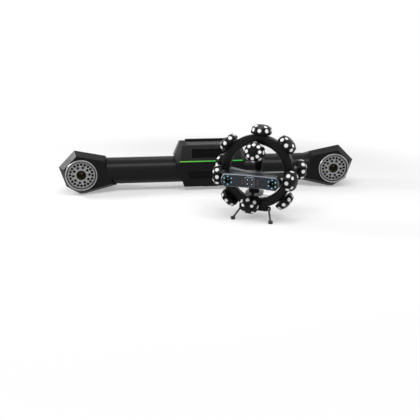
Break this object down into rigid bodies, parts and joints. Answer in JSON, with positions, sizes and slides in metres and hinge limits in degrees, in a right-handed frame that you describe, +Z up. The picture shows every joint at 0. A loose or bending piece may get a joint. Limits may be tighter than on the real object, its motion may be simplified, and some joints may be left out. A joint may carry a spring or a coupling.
{
  "type": "optical tracking scanner",
  "caption": "Long stereo optical tracker bar with ring-lit camera heads and a handheld ring scanner with faceted marker domes, camera bar and folding stand.",
  "frame": {"origin": "mouth of the tripod thread under the tracker's housing, 10 mm above the floor both units rest on", "axes": "+X along the tracker's tube to the right camera head as seen from the front, -Y to the front, +Z up"},
  "size_m": [1.112, 0.5536, 0.2891],
  "materials": {
    "head_shells": "cast, satin charcoal paint, fine grain",
    "bezel_rings": "turned, bead blasted, bright edges",
    "light_plates": "grey anodised, satin",
    "head_back_covers": "cast, satin charcoal paint",
    "infrared_lights": "dark infrared windows",
    "tracker_lens_barrels": "black anodised",
    "tracker_lenses": "coated, amber and green reflections",
    "camera_bodies": "black anodised",
    "top_handle": "moulded, satin grey paint",
    "handle_pad": "soft black strip",
    "display_window": "polished, tinted black",
    "display_module": "black frame and panel",
    "light_strip": "milky light guide, lit green",
    "front_grille": "fine textured, black",
    "socket_plate": "grey anodised",
    "sockets": "black plastic with metal contacts",
    "housing_front_shell": "cast, satin charcoal paint, fine grain",
    "housing_rear_shell": "cast, satin charcoal paint, fine grain",
    "carbon_tube": "carbon fibre, satin clear coat",
    "tube_saddles": "moulded black nylon",
    "main_board": "green solder mask",
    "mount_block": "anodised dark grey",
    "tracker_screws": "black oxide",
    "power_button": "turned, satin",
    "scanner_ring": "carbon fibre twill, satin clear coat",
    "dome_top": "moulded, satin black paint, fine grain",
    "dome_upper_left": "moulded, satin black paint, fine grain",
    "dome_upper_right": "moulded, satin black paint, fine grain",
    "dome_lower_left": "moulded, satin black paint, fine grain",
    "dome_lower_right": "moulded, satin black paint, fine grain",
    "dome_front_left": "moulded, satin black paint, fine grain",
    "dome_front_right": "moulded, satin black paint, fine grain",
    "dome_rear_left": "moulded, satin black paint, fine grain",
    "dome_rear_right": "moulded, satin black paint, fine grain",
    "dome_bottom": "moulded, satin black paint, fine grain",
    "dome_middle": "moulded, satin black paint, fine grain",
    "dome_targets": "glass-bead reflecting film with dark rim",
    "bar_front_shell": "milled, satin slate paint",
    "bar_rear_shell": "satin dark grey",
    "bar_lens_barrels": "black anodised",
    "scanner_glasses": "coated lenses and windows",
    "lens_lights": "clear domes, lit cyan white",
    "indicator_lights": "lit orange",
    "laser_module": "anodised slate with bright chamfers",
    "cross_frame": "bead blasted, light grey",
    "side_arms": "anodised grey",
    "handle": "soft black grip",
    "cable_socket": "nickel plated",
    "rear_pod": "satin black",
    "stand_saddle": "black anodised",
    "stand_pins": "ground",
    "clamp_collar": "turned, bright",
    "scanner_screws": "plain steel",
    "clamp_lever": "cast, polished",
    "scan_button": "soft blue keycap",
    "key_button_left": "soft dark keycap",
    "key_button_right": "soft dark keycap",
    "leg_left": "steel rod with black rubber foot",
    "leg_right": "steel rod with black rubber foot",
    "leg_rear": "steel rod with black rubber foot"
  },
  "bodies": {
    "tracker": {"head_shells": "head_shells", "bezel_rings": "bezel_rings", "light_plates": "light_plates", "head_back_covers": "head_back_covers", "infrared_lights": "infrared_lights", "tracker_lens_barrels": "tracker_lens_barrels", "tracker_lenses": "tracker_lenses", "camera_bodies": "camera_bodies", "top_handle": "top_handle", "handle_pad": "handle_pad", "display_window": "display_window", "display_module": "display_module", "light_strip": "light_strip", "front_grille": "front_grille", "socket_plate": "socket_plate", "sockets": "sockets", "housing_front_shell": "housing_front_shell", "housing_rear_shell": "housing_rear_shell", "carbon_tube": "carbon_tube", "tube_saddles": "tube_saddles", "main_board": "main_board", "mount_block": "mount_block", "tracker_screws": "tracker_screws"},
    "power_button": {"power_button": "power_button"},
    "scanner": {"scanner_ring": "scanner_ring", "dome_top": "dome_top", "dome_upper_left": "dome_upper_left", "dome_upper_right": "dome_upper_right", "dome_lower_left": "dome_lower_left", "dome_lower_right": "dome_lower_right", "dome_front_left": "dome_front_left", "dome_front_right": "dome_front_right", "dome_rear_left": "dome_rear_left", "dome_rear_right": "dome_rear_right", "dome_bottom": "dome_bottom", "dome_middle": "dome_middle", "dome_targets": "dome_targets", "bar_front_shell": "bar_front_shell", "bar_rear_shell": "bar_rear_shell", "bar_lens_barrels": "bar_lens_barrels", "scanner_glasses": "scanner_glasses", "lens_lights": "lens_lights", "indicator_lights": "indicator_lights", "laser_module": "laser_module", "cross_frame": "cross_frame", "side_arms": "side_arms", "handle": "handle", "cable_socket": "cable_socket", "rear_pod": "rear_pod", "stand_saddle": "stand_saddle", "stand_pins": "stand_pins", "clamp_collar": "clamp_collar", "scanner_screws": "scanner_screws"},
    "clamp_lever": {"clamp_lever": "clamp_lever"},
    "scan_button": {"scan_button": "scan_button"},
    "key_button_left": {"key_button_left": "key_button_left"},
    "key_button_right": {"key_button_right": "key_button_right"},
    "leg_left": {"leg_left": "leg_left"},
    "leg_right": {"leg_right": "leg_right"},
    "leg_rear": {"leg_rear": "leg_rear"}
  },
  "joints": [
    {"name": "scanner_lift", "type": "slide", "parent": "tracker", "child": "scanner", "axis": [0, 0, 1], "range_m": [0, 0.25]},
    {"name": "power_button_press", "type": "slide", "parent": "tracker", "child": "power_button", "axis": [0, -1, 0], "range_m": [0, 0.0015], "stiffness_N_per_m": 700},
    {"name": "scan_button_press", "type": "slide", "parent": "scanner", "child": "scan_button", "axis": [-0.4509, -0.8926, 0], "range_m": [0, 0.0012], "stiffness_N_per_m": 600},
    {"name": "key_button_left_press", "type": "slide", "parent": "scanner", "child": "key_button_left", "axis": [-0.4509, -0.8926, 0], "range_m": [0, 0.0012], "stiffness_N_per_m": 600},
    {"name": "key_button_right_press", "type": "slide", "parent": "scanner", "child": "key_button_right", "axis": [-0.4509, -0.8926, 0], "range_m": [0, 0.0012], "stiffness_N_per_m": 600},
    {"name": "leg_left_fold", "type": "hinge", "parent": "scanner", "child": "leg_left", "pos_m": [0.06322, -0.34509, 0.0215], "axis": [0.6587, -0.7524, 0], "range_deg": [0, 57]},
    {"name": "leg_right_fold", "type": "hinge", "parent": "scanner", "child": "leg_right", "pos_m": [0.14177, -0.38477, 0.0215], "axis": [0.9965, -0.0837, 0], "range_deg": [0, 57]},
    {"name": "leg_rear_fold", "type": "hinge", "parent": "scanner", "child": "leg_rear", "pos_m": [0.12143, -0.32744, 0.0215], "axis": [-0.8926, 0.4509, 0], "range_deg": [0, 57]},
    {"name": "clamp_lever_turn", "type": "hinge", "parent": "scanner", "child": "clamp_lever", "pos_m": [0.11537, -0.386, 0.0682], "axis": [0, 0, 1], "range_deg": [0, 55]}
  ]
}
